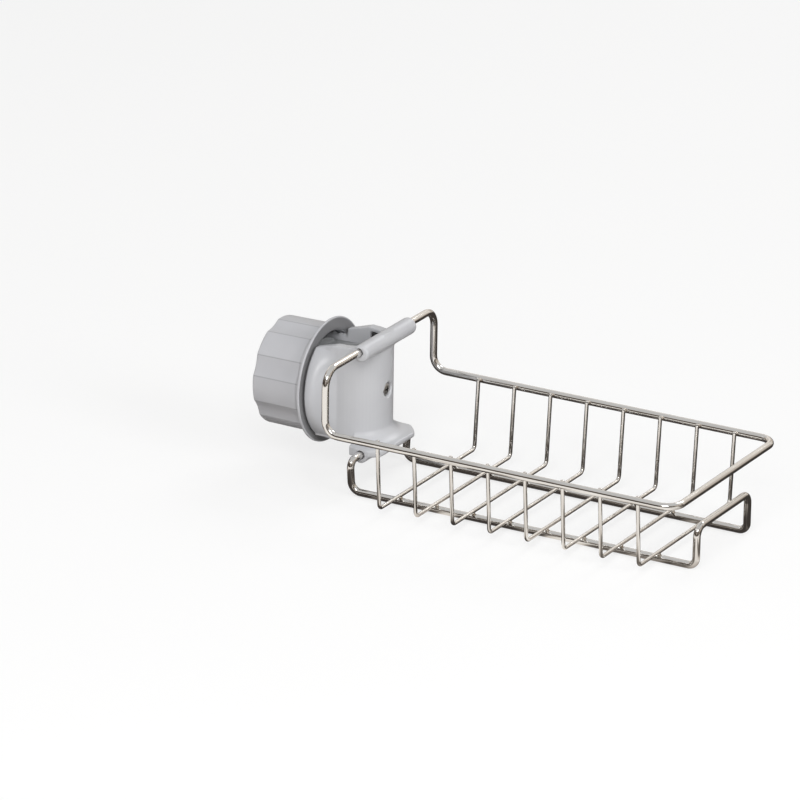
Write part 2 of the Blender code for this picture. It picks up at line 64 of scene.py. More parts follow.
class Value:
    # a socket that takes part in sums, so shader maths reads as plain expressions
    def __init__(self, graph, socket):
        self.graph = graph
        self.socket = socket

    def maths(self, operation, *others):
        return self.graph.node("ShaderNodeMath", {"operation": operation}, [self, *others]).first()

    def __add__(self, other):
        return self.maths("ADD", other)

    def __radd__(self, other):
        return self.maths("ADD", other)

    def __sub__(self, other):
        return self.maths("SUBTRACT", other)

    def __rsub__(self, other):
        return self.graph.node("ShaderNodeMath", {"operation": "SUBTRACT"}, [other, self]).first()

    def __mul__(self, other):
        return self.maths("MULTIPLY", other)

    def __rmul__(self, other):
        return self.maths("MULTIPLY", other)

    def __pow__(self, other):
        return self.maths("POWER", other)

    def clamped(self):
        made = self.graph.node("ShaderNodeMath", {"operation": "ADD", "use_clamp": True}, [self, 0.0])
        return made.first()

    def between(self, low, high):
        # 0 at low, 1 at high, and nothing past either
        return self.graph.node("ShaderNodeMapRange", {"clamp": True}, [self, low, high, 0.0, 1.0]).first()


class Made:
    def __init__(self, graph, node):
        self.graph = graph
        self.made = node

    def first(self):
        return Value(self.graph, next(s for s in self.made.outputs if s.enabled))

    def out(self, name):
        return Value(self.graph, self.made.outputs[name])


class Graph:
    def __init__(self, name):
        self.material = bpy.data.materials.new(name)
        self.material.use_nodes = True
        self.tree = self.material.node_tree
        self.shader = self.tree.nodes["Principled BSDF"]

    def node(self, kind, settings=None, inputs=None):
        # settings first, then the sockets, by name from a dictionary or in order from a list
        node = self.tree.nodes.new(kind)
        for key, value in (settings or {}).items():
            if key == "stops":
                self.setStops(node.color_ramp, value)
            else:
                setattr(node, key, value)
        enabled = [s for s in node.inputs if s.enabled]
        pairs = inputs.items() if isinstance(inputs, dict) else enumerate(inputs or [])
        for key, value in pairs:
            socket = enabled[key] if isinstance(key, int) else next(s for s in enabled if s.name == key)
            self.feed(socket, value)
        return Made(self, node)

    def setStops(self, ramp, stops):
        while len(ramp.elements) < len(stops):
            ramp.elements.new(0.5)
        for element, (place, colour) in zip(ramp.elements, stops):
            element.position = place
            element.color = (*colour, 1.0)

    def feed(self, socket, value):
        if isinstance(value, Value):
            self.tree.links.new(value.socket, socket)
        elif isinstance(value, (tuple, list)) and len(value) == 3 and socket.type == "RGBA":
            socket.default_value = (*value, 1.0)
        else:
            socket.default_value = value

    def set(self, **values):
        words = {"baseColor": "Base Color", "roughness": "Roughness", "metallic": "Metallic",
                 "normal": "Normal", "specular": "Specular IOR Level"}
        for name, value in values.items():
            self.feed(self.shader.inputs[words[name]], value)

    def place(self):
        return self.node("ShaderNodeTexCoord").out("Object")

    def offAxis(self, parts, z=0.0):
        # the distance from a line along X at this height
        rise = parts.out("Z") - z if z else parts.out("Z")
        return (parts.out("Y") ** 2.0 + rise ** 2.0) ** 0.5

    def stretched(self, scale):
        inputs = {"Vector": self.place(), "Scale": scale}
        return self.node("ShaderNodeMapping", None, inputs).first()

    def noise(self, scale, detail, roughness, vector=None, distortion=0.0):
        # a piece's settings give each noise its scale, detail and roughness
        inputs = {"Vector": vector or self.place(), "Scale": scale, "Detail": detail,
                  "Roughness": roughness, "Distortion": distortion}
        return self.node("ShaderNodeTexNoise", None, inputs).out("Fac")

    def mixColour(self, factor, first, second):
        inputs = {"Factor": factor, "A": first, "B": second}
        return self.node("ShaderNodeMix", {"data_type": "RGBA"}, inputs).first()

    def bump(self, height, strength, distance, normal=None):
        inputs = {"Height": height, "Strength": strength, "Distance": distance}
        if normal is not None:
            inputs["Normal"] = normal
        return self.node("ShaderNodeBump", None, inputs).first()


# Surfaces

def gridFaces(rows, columns, wrapRows):
    # the four corners of each cell of a grid that closes round its columns, as vertex numbers
    r, c = np.divmod(np.arange((rows if wrapRows else rows - 1) * columns), columns)
    nextR, nextC = (r + 1) % rows, (c + 1) % columns
    return np.stack([r * columns + c, r * columns + nextC, nextR * columns + nextC, nextR * columns + c], 1)


def enclosedVolume(points, faces):
    # the sum over triangles of a . (b x c) / 6, positive where faces point outwards
    a, b, c, d = (points[faces[:, i]] for i in range(4))
    first = np.einsum("ij,ij->i", a, np.cross(b, c))
    second = np.einsum("ij,ij->i", a, np.cross(c, d))
    return (first.sum() + second.sum()) / 6


def gridObject(name, points, wrapRows=False, capEnds=True, map2d=None, fields=None):
    # an object from a (rows, columns, 3) array; map2d is (rows + 1, columns + 1, 2), fields are per point
    rows, columns = points.shape[:2]
    flat = points.reshape(-1, 3)
    faces = gridFaces(rows, columns, wrapRows)
    caps = []
    if capEnds and not wrapRows:
        caps = [np.arange(columns)[::-1], (rows - 1) * columns + np.arange(columns)]
    turned = enclosedVolume(flat - flat.mean(0), faces) < 0
    if turned:
        faces = faces[:, ::-1]
        caps = [cap[::-1] for cap in caps]
    mesh = bpy.data.meshes.new(name)
    mesh.from_pydata(flat.tolist(), [], faces.tolist() + [cap.tolist() for cap in caps])
    if map2d is not None:
        cellR, cellC = np.divmod(np.arange(len(faces)), columns)
        corners = np.stack([map2d[cellR, cellC], map2d[cellR, cellC + 1],
                            map2d[cellR + 1, cellC + 1], map2d[cellR + 1, cellC]], 1)
        if turned:
            corners = corners[:, ::-1]
        layer = mesh.uv_layers.new(name="surfaceMap")
        values = np.zeros((len(mesh.loops), 2))
        values[:len(faces) * 4] = corners.reshape(-1, 2)
        layer.data.foreach_set("uv", values.ravel())
    for field, data in (fields or {}).items():
        attribute = mesh.attributes.new(field, "FLOAT", "POINT")
        attribute.data.foreach_set("value", np.asarray(data, np.float32).ravel())
    mesh.shade_smooth()
    piece = bpy.data.objects.new(name, mesh)
    bpy.context.scene.collection.objects.link(piece)
    return piece


poleWeld = 0.0000005


def closePoles(piece):
    # an end row that lies in one point is welded there
    joined = bmesh.new()
    joined.from_mesh(piece.data)
    bmesh.ops.remove_doubles(joined, verts=joined.verts, dist=poleWeld)
    joined.to_mesh(piece.data)
    joined.free()
    return piece


def readPoints(mesh):
    # the mesh's vertices as rows of x, y, z
    points = np.zeros(len(mesh.vertices) * 3)
    mesh.vertices.foreach_get("co", points)
    return points.reshape(-1, 3)


def finishPiece(piece, material, body, replaced=()):
    # the piece's material, the body that carries it and the imported nodes that it stands for
    piece.data.materials.clear()
    piece.data.materials.append(material)
    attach(piece, body)
    if replaced:
        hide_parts(*replaced)


def unit(vectors):
    return vectors / np.linalg.norm(vectors, axis=-1, keepdims=True)


def bentPath(corners, bends, closed, steps, spacing):
    # straight runs and arcs through the corners, then points no farther apart than spacing
    corners = np.array(corners, float)
    count = len(corners)
    runs = []
    for i in range(count):
        if not closed and i in (0, count - 1):
            runs.append(corners[i:i + 1])
            continue
        back = unit(corners[i - 1] - corners[i])
        onward = unit(corners[(i + 1) % count] - corners[i])
        half = math.acos(float(np.clip(back @ onward, -1, 1))) / 2
        centre = corners[i] + unit(back + onward) * bends[i] / math.sin(half)
        start = corners[i] + back * bends[i] / math.tan(half) - centre
        end = corners[i] + onward * bends[i] / math.tan(half) - centre
        sweep = math.pi - 2 * half
        turns = np.linspace(0, sweep, steps + 1)[:, None]
        across = (end - start * math.cos(sweep)) / math.sin(sweep)
        runs.append(centre + start * np.cos(turns) + across * np.sin(turns))
    path = np.concatenate(runs)
    if closed:
        path = np.concatenate([path, path[:1]])
    lengths = np.linalg.norm(np.diff(path, axis=0), axis=1)
    pieces = [np.linspace(0, 1, max(int(n / spacing), 1), endpoint=False) for n in lengths]
    dense = [path[i] + (path[i + 1] - path[i]) * p[:, None] for i, p in enumerate(pieces)]
    if not closed:
        dense.append(path[-1:])
    return np.concatenate(dense)


def wirePiece(name, path, radius, around, closed, welds):
    # a circle carried along the path: centre + radius (cos a side + sin a over)
    if closed:
        along = unit(np.roll(path, -1, 0) - np.roll(path, 1, 0))
    else:
        along = unit(np.gradient(path, axis=0))
    crossway = np.array(wireLook["crossway"])  # a direction that no wire takes
    side = unit(crossway - (along @ crossway)[:, None] * along)
    over = np.cross(along, side)
    centres, radii = path, np.full(len(path), radius)
    if not closed:  # sheared ends with a worn edge: rings that shrink over a third of the radius
        rise, shrink = (np.array(shares) * radius for shares in (wireLook["endRise"], wireLook["endShrink"]))
        first = path[0] - along[0] * rise[::-1, None]
        last = path[-1] + along[-1] * rise[:, None]
        centres = np.concatenate([first, path[1:-1], last])
        radii = np.concatenate([shrink[::-1], radii[1:-1], shrink])
        rings = len(rise)
        side, over = (np.concatenate([np.repeat(v[:1], rings, 0), v[1:-1], np.repeat(v[-1:], rings, 0)])
                      for v in (side, over))
    turns = np.linspace(0, 2 * math.pi, around, endpoint=False)
    ring = np.cos(turns)[None, :, None] * side[:, None] + np.sin(turns)[None, :, None] * over[:, None]
    points = centres[:, None] + radii[:, None, None] * ring
    steps = np.linalg.norm(np.diff(centres, axis=0, append=centres[:1] if closed else centres[-1:]), axis=1)
    run = np.concatenate([[0], np.cumsum(steps)])
    map2d = np.stack(np.meshgrid(run, np.linspace(0, 1, around + 1), indexing="ij")[::-1], -1)
    heat = np.zeros(points.shape[:2])
    if len(welds):
        away = np.linalg.norm(points[:, :, None] - np.array(welds)[None, None], axis=-1).min(-1)
        heat = np.exp(-(away / wireLook["heatReach"]) ** 2)
    return gridObject(name, points, wrapRows=closed, map2d=map2d, fields={"heat": heat})


# Basket wires

wireLook = {
    "railRadius": 0.0020, "ribRadius": 0.00105, "around": 28, "spacing": 0.0016, "bendSteps": 14,
    "endRise": (0.0, 0.20, 0.31, 0.33), "endShrink": (1.0, 0.93, 0.74, 0.02), "heatReach": 0.0034,
    "colour": (0.79, 0.77, 0.745), "paleColour": (0.84, 0.825, 0.80), "speckColour": (0.50, 0.46, 0.42),
    "heatColour": (0.46, 0.37, 0.29), "roughness": 0.055, "crossway": (0.53, 0.61, 0.59),
    "lines": (7.0, 4.0, 0.6), "linesAlong": 14.0, "smudge": (42.0, 3.0, 0.55), "specks": (900.0, 2.0, 0.5),
    "paleRange": (0.35, 0.65), "speckRange": (0.72, 0.80), "speckShare": 0.3, "tintFloor": 0.45,
    "tintShare": 0.75, "wornRange": (0.45, 0.8), "wornRough": 0.09, "lineRough": 0.05, "tintRough": 0.16,
    "bump": (0.07, 0.0001),
}
railBends = {"foot": 0.0080, "end": 0.0090, "hook": 0.0095}
frameBends = {"clampFoot": 0.0055, "farFoot": 0.0044, "farArch": 0.0055, "clampArch": 0.0042}
frameShape = {"runnerHalf": 0.0291, "archHalf": 0.0310, "archZ": -0.0295}
ribShape = {
    "floorHalfWidth": 0.0517, "bend": 0.0030, "count": 8, "topRise": 0.0010, "around": 20, "bendSteps": 10,
    "spacing": 0.0010,
}
weldShape = {
    "top": (0.00120, 0.00095, 0.00135), "floor": (0.00115, 0.00120, 0.00085), "lumps": 0.16, "gap": 0.0003,
    "rows": 9, "columns": 14, "poleGap": 0.02, "colour": (0.62, 0.57, 0.51), "sootColour": (0.36, 0.29, 0.22),
    "lumpGrain": (900.0, 3.0, 0.6), "soot": (260.0, 2.0, 0.5), "sootRange": (0.35, 0.7), "roughness": 0.20,
    "lumpRough": 0.25, "bump": (0.5, 0.0002), "shift": 1.7,
}


def chromeWire():
    # drawn lines along the wire, smudges, small specks, and a warm tint where the welds were hot
    g, look = Graph("chromeWire"), wireLook
    wireMap = g.node("ShaderNodeUVMap", {"uv_map": "surfaceMap"}).first()
    parts = g.node("ShaderNodeSeparateXYZ", None, [wireMap])
    turn, run = parts.out("X") * (2 * math.pi), parts.out("Y") * look["linesAlong"]
    ring = {"X": turn.maths("COSINE"), "Y": turn.maths("SINE"), "Z": run}
    lines = g.noise(*look["lines"], g.node("ShaderNodeCombineXYZ", None, ring).first())
    smudge = g.noise(*look["smudge"])
    specks = g.noise(*look["specks"]).between(*look["speckRange"])
    heat = g.node("ShaderNodeAttribute", {"attribute_name": "heat"}).out("Fac")
    tint = (heat * (look["tintFloor"] + smudge)).clamped()
    clean = g.mixColour(smudge.between(*look["paleRange"]), look["colour"], look["paleColour"])
    marked = g.mixColour(specks * look["speckShare"], clean, look["speckColour"])
    g.set(baseColor=g.mixColour(tint * look["tintShare"], marked, look["heatColour"]))
    worn = smudge.between(*look["wornRange"]) * look["wornRough"]
    worn = worn + lines * look["lineRough"] + tint * look["tintRough"]
    g.set(roughness=look["roughness"] + worn, metallic=1.0)
    g.set(normal=g.bump(lines, *look["bump"]))
    return g.material


def weldMetal():
    # lumpy bright metal with patches of soot
    g, s = Graph("weldMetal"), weldShape
    lumps = g.noise(*s["lumpGrain"])
    soot = g.noise(*s["soot"]).between(*s["sootRange"])
    g.set(baseColor=g.mixColour(soot, s["colour"], s["sootColour"]))
    g.set(roughness=s["roughness"] + lumps * s["lumpRough"], metallic=1.0)
    g.set(normal=g.bump(lumps, *s["bump"]))
    return g.material


railLow, railHigh = (np.array(v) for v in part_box("top_rail"))
frameLow, frameHigh = (np.array(v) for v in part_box("lower_frame"))
railRadius, ribRadius = wireLook["railRadius"], wireLook["ribRadius"]
hookX, farX = railLow[0] + railRadius, railHigh[0] - railRadius
nearY, farY = railLow[1] + railRadius, railHigh[1] - railRadius
railZ, hookZ = railLow[2] + railRadius, railHigh[2] - railRadius
middleY = (nearY + farY) / 2
runnerHalf = frameShape["runnerHalf"]
runnerZ, runnerFarX = frameLow[2] + railRadius, frameHigh[0] - railRadius
farArchZ = frameHigh[2] - railRadius

ribBoxes = [tuple(np.array(v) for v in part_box(f"rib_{i + 1}")) for i in range(ribShape["count"])]
ribX = np.array([(low[0] + high[0]) / 2 for low, high in ribBoxes])
ribFloorZ = ribBoxes[0][0][2] + ribRadius
ribTopHalf = (farY - nearY) / 2 - railRadius - ribRadius - weldShape["gap"]
ribTopZ = railZ + ribShape["topRise"]
ribLean = (ribTopHalf - ribShape["floorHalfWidth"]) / (ribTopZ - ribFloorZ)
ribHalfAtRail = ribShape["floorHalfWidth"] + ribLean * (railZ - ribFloorZ)

sides = np.array([-1.0, 1.0])
weldTopY = middleY + sides * (ribHalfAtRail + ribRadius + weldShape["gap"] / 2)
weldFloorZ = ribFloorZ - ribRadius - weldShape["gap"] / 2
weldTops = [(x, y, railZ) for x in ribX for y in weldTopY]
weldFloors = [(x, middleY + s * runnerHalf, weldFloorZ) for x in ribX for s in sides]
welds = weldTops + weldFloors

wireMaterial = chromeWire()
railCorners = [(hookX, nearY, railZ), (farX, nearY, railZ), (farX, farY, railZ), (hookX, farY, railZ),
               (hookX, farY, hookZ), (hookX, nearY, hookZ)]
railBendList = [railBends[k] for k in ("foot", "end", "end", "foot", "hook", "hook")]
railPath = bentPath(railCorners, railBendList, True, wireLook["bendSteps"], wireLook["spacing"])
topRail = wirePiece("topRailWire", railPath, railRadius, wireLook["around"], True, weldTops)
finishPiece(topRail, wireMaterial, "basket", ["top_rail"])

runnerNearY, runnerFarY = middleY - runnerHalf, middleY + runnerHalf
frameCorners = [
    (hookX, runnerNearY, runnerZ), (runnerFarX, runnerNearY, runnerZ),
    (runnerFarX, runnerNearY, farArchZ), (runnerFarX, runnerFarY, farArchZ),
    (runnerFarX, runnerFarY, runnerZ), (hookX, runnerFarY, runnerZ),
    (hookX, middleY + frameShape["archHalf"], frameShape["archZ"]),
    (hookX, middleY - frameShape["archHalf"], frameShape["archZ"]),
]
frameBendList = [frameBends[k] for k in ("clampFoot", "farFoot", "farArch", "farArch",
                                         "farFoot", "clampFoot", "clampArch", "clampArch")]
framePath = bentPath(frameCorners, frameBendList, True, wireLook["bendSteps"], wireLook["spacing"])
lowerFrame = wirePiece("lowerFrameWire", framePath, railRadius, wireLook["around"], True, weldFloors)
finishPiece(lowerFrame, wireMaterial, "basket", ["lower_frame"])

for i, x in enumerate(ribX):
    floorHalf = ribShape["floorHalfWidth"]
    ribCorners = [(x, middleY - ribTopHalf, ribTopZ), (x, middleY - floorHalf, ribFloorZ),
                  (x, middleY + floorHalf, ribFloorZ), (x, middleY + ribTopHalf, ribTopZ)]
    ribBends = [ribShape["bend"]] * len(ribCorners)
    ribPath = bentPath(ribCorners, ribBends, False, ribShape["bendSteps"], ribShape["spacing"])
    rib = wirePiece(f"ribWire{i + 1}", ribPath, ribRadius, ribShape["around"], False, welds)
    finishPiece(rib, wireMaterial, "basket", [f"rib_{i + 1}"])
print("wires made")


def weldBeads(name, places, size):
    # all beads in one mesh, each an ellipsoid times 1 + lumps sin(3 turn + shift n) cos(up) sin(2 up + n)
    s = weldShape
    reach = math.pi / 2 - s["poleGap"]
    up = np.linspace(-reach, reach, s["rows"])[:, None]
    turn = np.linspace(0, 2 * math.pi, s["columns"], endpoint=False)[None]
    bead = np.stack([size[0] * np.cos(up) * np.cos(turn), size[1] * np.cos(up) * np.sin(turn),
                     size[2] * np.sin(up) + 0 * turn], -1)
    meshes = []
    for n, centre in enumerate(places):
        wobble = 1 + s["lumps"] * np.sin(3 * turn + n * s["shift"]) * np.cos(up) * np.sin(2 * up + n)
        meshes.append(gridObject(f"{name}{n}", bead * wobble[:, :, None] + np.array(centre)))
    joined = bmesh.new()
    for piece in meshes:
        joined.from_mesh(piece.data)
        bpy.data.objects.remove(piece, do_unlink=True)
    mesh = bpy.data.meshes.new(name)
    joined.to_mesh(mesh)
    joined.free()
    mesh.shade_smooth()
    piece = bpy.data.objects.new(name, mesh)
    bpy.context.scene.collection.objects.link(piece)
    return piece


weldMaterial = weldMetal()
finishPiece(weldBeads("rimWelds", weldTops, weldShape["top"]), weldMaterial, "basket")
finishPiece(weldBeads("floorWelds", weldFloors, weldShape["floor"]), weldMaterial, "basket")
print("welds made")


# Moulded plastic

plasticLook = {
    "clamp": ((0.472, 0.478, 0.500), (0.508, 0.514, 0.532)),
    "knob": ((0.448, 0.450, 0.472), (0.486, 0.488, 0.508)),
    "pad": ((0.25, 0.255, 0.262), (0.30, 0.305, 0.31)),
    "clampRoughness": 0.30, "knobRoughness": 0.35, "padRoughness": 0.42,
    # the dust colour also carries painted shade in concave corners; the near-black colour after it is painted
    # shade
    "dustColour": (0.24, 0.23, 0.21), "paintedShadeColour": (0.045, 0.043, 0.042),
    "cloudy": (38.0, 3.0, 0.5), "grain": (2600.0, 2.0, 0.5), "flow": (30.0, 3.0, 0.6),
    "flowStretch": (1.0, 1.0, 5.0), "flowTwist": 0.6, "wipes": (26.0, 4.0, 0.65),
    "wipeStretch": (1.0, 9.0, 2.0), "toneRange": (0.3, 0.7), "speckRange": (0.62, 0.72), "speckShare": 0.18,
    "darker": 0.82, "streakRange": (0.55, 0.8), "streakShare": 0.10, "lighter": 1.10,
    "rubbedRange": (0.525, 0.60), "rubbedFloor": 0.3, "rubbedShare": 0.35, "paler": 1.28, "palest": 0.8,
    "dustyRange": (0.42, 0.49), "dustShare": 0.35, "dustRough": 0.15, "wipedRange": (0.4, 0.75),
    "wipedRough": 0.12, "grainRough": 0.03, "fineBump": (0.10, 0.00005), "wipeBump": 0.25,
    "bump": (0.12, 0.00020), "specular": 0.5,
}


def mouldedPlastic(name, tones, roughness, paintedShade=None):
    # cloudy tone with specks and streaks, paler on rubbed edges, with dust and painted shade in concave
    # corners; the last argument gives the share of painted shade, near black, at each place, from 0 to 1
    g, look = Graph(name), plasticLook
    cloudy = g.noise(*look["cloudy"])
    grain = g.noise(*look["grain"])
    flow = g.noise(*look["flow"], g.stretched(look["flowStretch"]), look["flowTwist"])
    wipes = g.noise(*look["wipes"], g.stretched(look["wipeStretch"]))
    bend = g.node("ShaderNodeNewGeometry").out("Pointiness")
    rubbed = bend.between(*look["rubbedRange"]) * (look["rubbedFloor"] + cloudy)
    # dust and painted shade: darker and rougher where the surface is concave
    dusty = (1 - bend.between(*look["dustyRange"])) * cloudy
    darker = tuple(v * look["darker"] for v in tones[0])
    lighter = tuple(v * look["lighter"] for v in tones[1])
    pale = tuple(min(v * look["paler"], look["palest"]) for v in tones[1])
    tone = g.mixColour(cloudy.between(*look["toneRange"]), tones[0], tones[1])
    speckled = g.mixColour(grain.between(*look["speckRange"]) * look["speckShare"], tone, darker)
    streaked = g.mixColour(flow.between(*look["streakRange"]) * look["streakShare"], speckled, lighter)
    worn = g.mixColour(rubbed * look["rubbedShare"], streaked, pale)
    dustedAndShaded = g.mixColour((dusty * look["dustShare"]).clamped(), worn, look["dustColour"])
    # painted shade, near black, in gaps, crease lines and recesses
    if paintedShade:
        dustedAndShaded = g.mixColour(paintedShade(g).clamped(), dustedAndShaded, look["paintedShadeColour"])
    g.set(baseColor=dustedAndShaded, specular=look["specular"])
    wiped = wipes.between(*look["wipedRange"]) * look["wipedRough"]
    g.set(roughness=roughness + wiped + dusty * look["dustRough"] + grain * look["grainRough"])
    fine = g.bump(grain, *look["fineBump"])
    g.set(normal=g.bump(cloudy + wipes * look["wipeBump"], *look["bump"], fine))
    return g.material


mouldShape = {
    "weld": 0.000001, "relax": 0.5, "clampVoxel": 0.00052, "clampRounds": 3, "padVoxel": 0.00050,
    "padRounds": 4, "joinRounds": 30, "joinReach": 0.0072, "joinHalfWidth": 0.0155, "joinInset": 0.0022,
    "sleeveAhead": 0.0008, "sleeveBelow": 0.0007,
}
threadShape = {
    "pitch": 0.0040, "depth": 0.00085, "startX": -0.0156, "endX": -0.0314, "outer": 0.0262, "fade": 0.0006,
    "under": 0.0009, "steepness": 2.4, "level": 0.7, "innermost": 0.001,
}
clampShadePlaces = {  # where each patch of painted shade starts and ends, and how dark it gets
    "drumBack": (-0.0141, -0.0132), "drumRoot": (-0.0156, -0.0146), "drumOutside": (0.0240, 0.0262),
    "drumShare": 0.75, "screwRing": (0.0040, 0.0043), "screwFloor": (0.0176, 0.0180),
    "screwMouth": (0.0181, 0.0188), "screwShare": 0.80,
}
# where the knob's painted shade lies, and how dark each part gets
knobShadePlaces = {
    "lineBack": (-0.0465, -0.0461), "lineFront": (-0.0196, -0.0186), "line": (0.00010, 0.00042),
    "lineShare": 0.30, "rootAhead": 0.0006, "root": (0.00015, 0.00080), "rootOutside": (0.0275, 0.0283),
    "rootShare": 0.22, "front": (-0.0159, -0.0155), "frontOutside": (0.0332, 0.0338), "frontShare": 0.60,
}


def mouldedCopy(node, name, voxel, rounds):
    # the node's solid, welded, remeshed evenly and relaxed, so that its edges round as moulded ones do
    mesh = nodes[node].data.copy()
    joined = bmesh.new()
    joined.from_mesh(mesh)
    bmesh.ops.remove_doubles(joined, verts=joined.verts, dist=mouldShape["weld"])
    joined.to_mesh(mesh)
    joined.free()
    raw = bpy.data.objects.new(name + "Raw", mesh)
    bpy.context.scene.collection.objects.link(raw)
    remesh = raw.modifiers.new("even", "REMESH")
    remesh.mode = "VOXEL"
    remesh.voxel_size = voxel
    relax = raw.modifiers.new("relax", "SMOOTH")
    relax.factor = mouldShape["relax"]
    relax.iterations = rounds
    bpy.context.view_layer.update()
    finished = bpy.data.meshes.new_from_object(raw.evaluated_get(bpy.context.evaluated_depsgraph_get()))
    bpy.data.objects.remove(raw, do_unlink=True)
    for attribute in [a for a in finished.attributes if a.name == "custom_normal"]:
        finished.attributes.remove(attribute)
    finished.shade_smooth()
    piece = bpy.data.objects.new(name, finished)
    bpy.context.scene.collection.objects.link(piece)
    return piece


def threadRidge(turn, x):
    # steepness * |2 phase - 1| - level, held from 0 to 1; phase is turn / 2 pi - x / pitch, modulo 1
    t = threadShape
    phase = (turn / (2 * math.pi) - x / t["pitch"]) % 1.0
    return np.clip(np.abs(phase * 2 - 1) * t["steepness"] - t["level"], 0, 1)


def cutThread(piece):
    # pulls the prongs' outer skin in along the helix, and fades out at both ends and below the skin
    t = threadShape
    mesh = piece.data
    points = readPoints(mesh)
    x, radius = points[:, 0], np.hypot(points[:, 1], points[:, 2])
    ridge = threadRidge(np.arctan2(points[:, 2], points[:, 1]), x)
    ends = np.clip((t["startX"] - x) / t["fade"], 0, 1) * np.clip((x - t["endX"]) / t["fade"], 0, 1)
    skin = np.clip((radius - t["outer"] + t["under"]) / t["fade"], 0, 1)
    pull = t["depth"] * ridge * ends * skin
    points[:, 1:] *= (1 - pull / np.maximum(radius, t["innermost"]))[:, None]
    mesh.vertices.foreach_set("co", points.ravel())
    mesh.update()


def softenJoin(piece, middleX, middleZ):
    # relaxes the inner corner where the sleeve meets the wall, below and in front of the sleeve's middle
    m = mouldShape
    points = readPoints(piece.data)
    x, y, z = points[:, 0] - middleX, points[:, 1], points[:, 2] - middleZ
    below = (z < -m["joinInset"]) & (x > -m["joinInset"])
    near = below & (np.hypot(x, z) < m["joinReach"]) & (np.abs(y) < m["joinHalfWidth"])
    group = piece.vertex_groups.new(name="join")
    group.add(np.flatnonzero(near).tolist(), 1.0, "REPLACE")
    relax = piece.modifiers.new("joinRelax", "SMOOTH")
    relax.factor = m["relax"]
    relax.iterations = m["joinRounds"]
    relax.vertex_group = "join"
    bpy.context.view_layer.update()
    finished = bpy.data.meshes.new_from_object(piece.evaluated_get(bpy.context.evaluated_depsgraph_get()))
    piece.modifiers.clear()
    piece.vertex_groups.clear()
    piece.data = finished
    finished.shade_smooth()


def clampPaintedShade(g):
    # painted shade on the drum's back beside the knob's rim, where the gap is in shade, and in the ring round
    # the screw's head, down in its counterbore
    d = clampShadePlaces
    parts = g.node("ShaderNodeSeparateXYZ", None, [g.place()])
    x = parts.out("X")
    behind = (1 - x.between(*d["drumBack"])) * x.between(*d["drumRoot"])
    behind = behind * g.offAxis(parts).between(*d["drumOutside"])
    besideScrew = 1 - g.offAxis(parts, screwShape["z"]).between(*d["screwRing"])
    sunk = besideScrew * (1 - x.between(*d["screwMouth"])) * x.between(*d["screwFloor"])
    return behind * d["drumShare"] + sunk * d["screwShare"]


def knobPaintedShade(g):
    # painted shade: thin dark lines where the pads meet the hollows, one round the root of the rim, and a
    # darker rim front beside the gap to the drum
    k, d = knobShape, knobShadePlaces
    parts = g.node("ShaderNodeSeparateXYZ", None, [g.place()])
    x, outside = parts.out("X"), g.offAxis(parts)
    turn = parts.out("Z").maths("ARCTAN2", parts.out("Y")) - k["firstFlute"]
    place = ((turn * (k["flutes"] / (2 * math.pi)) + 0.5).maths("FRACT") - 0.5).maths("ABSOLUTE")
    off = (place - k["fluteWidth"] / 2).maths("ABSOLUTE") * (2 * math.pi * k["grip"] / k["flutes"])
    along = x.between(*d["lineBack"]) * (1 - x.between(*d["lineFront"]))
    line = (1 - off.between(*d["line"])) * along
    root = 1 - (x + k["flareBack"] - d["rootAhead"]).maths("ABSOLUTE").between(*d["root"])
    root = root * outside.between(*d["rootOutside"])
    front = x.between(*d["front"]) * (1 - outside.between(*d["frontOutside"]))
    return line * d["lineShare"] + root * d["rootShare"] + front * d["frontShare"]


screwShape = {  # here because the clamp's painted shade round the screw's head follows it too
    "seatX": 0.0183, "z": 0.0010, "head": 0.0031, "height": 0.0012, "domeFall": 0.42, "domeInset": 0.0003,
    "sideRises": (0.00075, 0.00050, 0.00010), "sideInset": 0.0001, "shank": 0.0014, "tip": 0.0148,
    "point": 0.0007, "armWidth": 0.00042, "armLength": 0.0019, "armEdge": 0.00012, "recess": 0.0009,
    # the painted shade in the cross: how dark, its soft edge, where its arms end, and its colour
    "rows": 44, "columns": 96, "crossShade": 0.92, "crossShadeWidth": 0.0001, "crossShadeEnds": (0.0018, 0.0020),
    "crossShadeColour": (0.02, 0.02, 0.02), "colour": (0.52, 0.51, 0.49), "paleColour": (0.74, 0.73, 0.71),
    "rings": 26000.0, "ringShare": 0.4, "smudge": (300.0, 3.0, 0.5), "smudgeRange": (0.4, 0.7),
    "roughness": 0.26, "smudgeRough": 0.18, "bump": (0.25, 0.00006),
}
clampPlastic = mouldedPlastic("clampPlastic", plasticLook["clamp"], plasticLook["clampRoughness"], clampPaintedShade)
clampBody = mouldedCopy("clamp_body", "clampBody", mouldShape["clampVoxel"], mouldShape["clampRounds"])
softenJoin(clampBody, hookX + mouldShape["sleeveAhead"], hookZ - mouldShape["sleeveBelow"])
cutThread(clampBody)
finishPiece(clampBody, clampPlastic, "clamp", ["clamp_body"])
padPlastic = mouldedPlastic("padPlastic", plasticLook["pad"], plasticLook["padRoughness"])
pad = mouldedCopy("pressure_pad", "pressurePad", mouldShape["padVoxel"], mouldShape["padRounds"])
finishPiece(pad, padPlastic, "pad", ["pressure_pad"])
print("clamp body made:", len(clampBody.data.polygons), "faces")


# Knob

